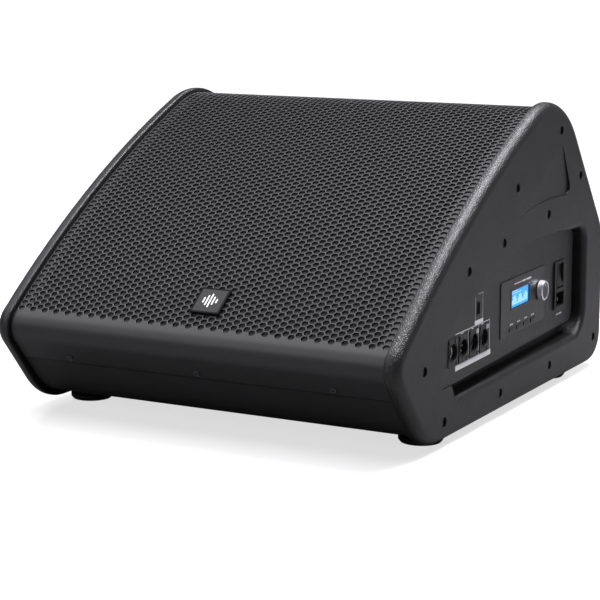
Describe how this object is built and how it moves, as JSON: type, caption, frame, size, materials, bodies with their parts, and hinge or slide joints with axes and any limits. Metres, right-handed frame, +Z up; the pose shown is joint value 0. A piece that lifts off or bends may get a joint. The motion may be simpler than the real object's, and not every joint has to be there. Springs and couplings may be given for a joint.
{
  "type": "powered stage monitor wedge",
  "caption": "Powered coaxial stage monitor wedge with moulded end cheeks, wrap-round perforated grille and a side control panel.",
  "frame": {"origin": "on the floor under the middle of the cabinet's bounding box", "axes": "+Y back from the nose (the longest extent), +X towards the cheek with the control panel, +Z up (the shortest extent)"},
  "size_m": [0.5081, 0.6121, 0.3504],
  "materials": {
    "cheek": "leather-grained moulded plastic",
    "plywood": "birch plywood, painted dark on the inside",
    "grille": "satin black powder coat",
    "foam": "open acoustic foam",
    "fastener": "black oxide",
    "badge": "satin black with bright ring",
    "rubber": "matt",
    "basket": "black casting",
    "magnet": "ferrite ring",
    "plate": "plated steel",
    "cone": "pressed paper",
    "surround": "treated cloth roll",
    "spider": "resin-treated cloth",
    "coil": "enamelled copper",
    "horn": "moulded",
    "port": "moulded",
    "bezel": "dark satin",
    "lcd": "backlit blue",
    "button": "satin",
    "board": "green circuit board",
    "steel": "bright",
    "knob": "turned",
    "insert": "dark",
    "socket": "black die-casting",
    "latch": "pressed metal",
    "inlet": "moulded",
    "chassis": "folded sheet",
    "heatsink": "black anodised",
    "ferrite": "taped winding",
    "can": "sleeved can",
    "cable": "sheathed"
  },
  "bodies": {
    "cabinet": {"floor_board": "plywood", "rear_board": "plywood", "upper_rear_board": "plywood", "top_rail": "plywood", "nose_board": "plywood", "baffle": "plywood", "side_board_right": "plywood", "side_board_left": "plywood", "cheek_right": "cheek", "cheek_left": "cheek", "cheek_screws_right": "fastener", "cheek_screws_left": "fastener", "grille": "grille", "grille_foam": "foam", "grille_screws": "fastener", "badge_plate": "badge", "rubber_feet": "rubber", "foot_screws": "fastener", "woofer_basket": "basket", "woofer_screws": "fastener", "woofer_top_plate": "plate", "woofer_magnet": "magnet", "woofer_yoke": "plate", "woofer_surround": "surround", "woofer_spider": "spider", "hf_horn": "horn", "hf_driver": "plate", "port_left": "port", "port_right": "port", "display_bezel": "bezel", "lcd_module": "lcd", "control_board": "board", "encoder_body": "steel", "usb_port": "steel", "combo_socket": "socket", "link_socket": "socket", "data_socket_in": "socket", "data_socket_out": "socket", "connector_board": "board", "mains_inlet": "inlet", "amp_chassis": "chassis", "heatsink": "heatsink", "power_board": "board", "power_transformer": "ferrite", "filter_capacitors": "can", "speaker_cable": "cable"},
    "woofer_moving": {"woofer_cone": "cone", "voice_coil": "coil"},
    "encoder_carrier": {"encoder_plunger": "steel"},
    "encoder_rotor": {"encoder_shaft": "steel", "encoder_knob": "knob", "knob_insert": "insert"},
    "rocker": {"power_rocker": "button"},
    "combo_release": {"combo_latch": "latch"},
    "data_in_release": {"data_latch_in": "latch"},
    "data_out_release": {"data_latch_out": "latch"},
    "menu_button_1": {"button_1": "button"},
    "menu_button_2": {"button_2": "button"},
    "menu_button_3": {"button_3": "button"},
    "menu_button_4": {"button_4": "button"}
  },
  "joints": [
    {"name": "cone_travel", "type": "slide", "parent": "cabinet", "child": "woofer_moving", "axis": [0, -0.5097, 0.8603], "range_m": [-0.005, 0.005], "stiffness_N_per_m": 2500, "deforming": ["woofer_surround", "woofer_spider"]},
    {"name": "encoder_push", "type": "slide", "parent": "cabinet", "child": "encoder_carrier", "axis": [-0.9997, -0.0262, 0], "range_m": [0, 0.0005], "stiffness_N_per_m": 8000},
    {"name": "encoder_turn", "type": "hinge", "parent": "encoder_carrier", "child": "encoder_rotor", "pos_m": [0.24523, 0.10191, 0.127], "axis": [0.9997, 0.0262, 0], "continuous": true},
    {"name": "power_switch", "type": "hinge", "parent": "cabinet", "child": "rocker", "pos_m": [0.23939, 0.17198, 0.134], "axis": [-0.0262, 0.9997, 0], "range_deg": [0, 16]},
    {"name": "combo_release_press", "type": "slide", "parent": "cabinet", "child": "combo_release", "axis": [-0.9997, -0.0262, 0], "range_m": [0, 0.001], "stiffness_N_per_m": 2000},
    {"name": "data_in_release_press", "type": "slide", "parent": "cabinet", "child": "data_in_release", "axis": [-0.9997, -0.0262, 0], "range_m": [0, 0.001], "stiffness_N_per_m": 2000},
    {"name": "data_out_release_press", "type": "slide", "parent": "cabinet", "child": "data_out_release", "axis": [-0.9997, -0.0262, 0], "range_m": [0, 0.001], "stiffness_N_per_m": 2000},
    {"name": "menu_button_1_press", "type": "slide", "parent": "cabinet", "child": "menu_button_1", "axis": [-0.9997, -0.0262, 0], "range_m": [0, 0.0007], "stiffness_N_per_m": 2000},
    {"name": "menu_button_2_press", "type": "slide", "parent": "cabinet", "child": "menu_button_2", "axis": [-0.9997, -0.0262, 0], "range_m": [0, 0.0007], "stiffness_N_per_m": 2000},
    {"name": "menu_button_3_press", "type": "slide", "parent": "cabinet", "child": "menu_button_3", "axis": [-0.9997, -0.0262, 0], "range_m": [0, 0.0007], "stiffness_N_per_m": 2000},
    {"name": "menu_button_4_press", "type": "slide", "parent": "cabinet", "child": "menu_button_4", "axis": [-0.9997, -0.0262, 0], "range_m": [0, 0.0007], "stiffness_N_per_m": 2000}
  ]
}
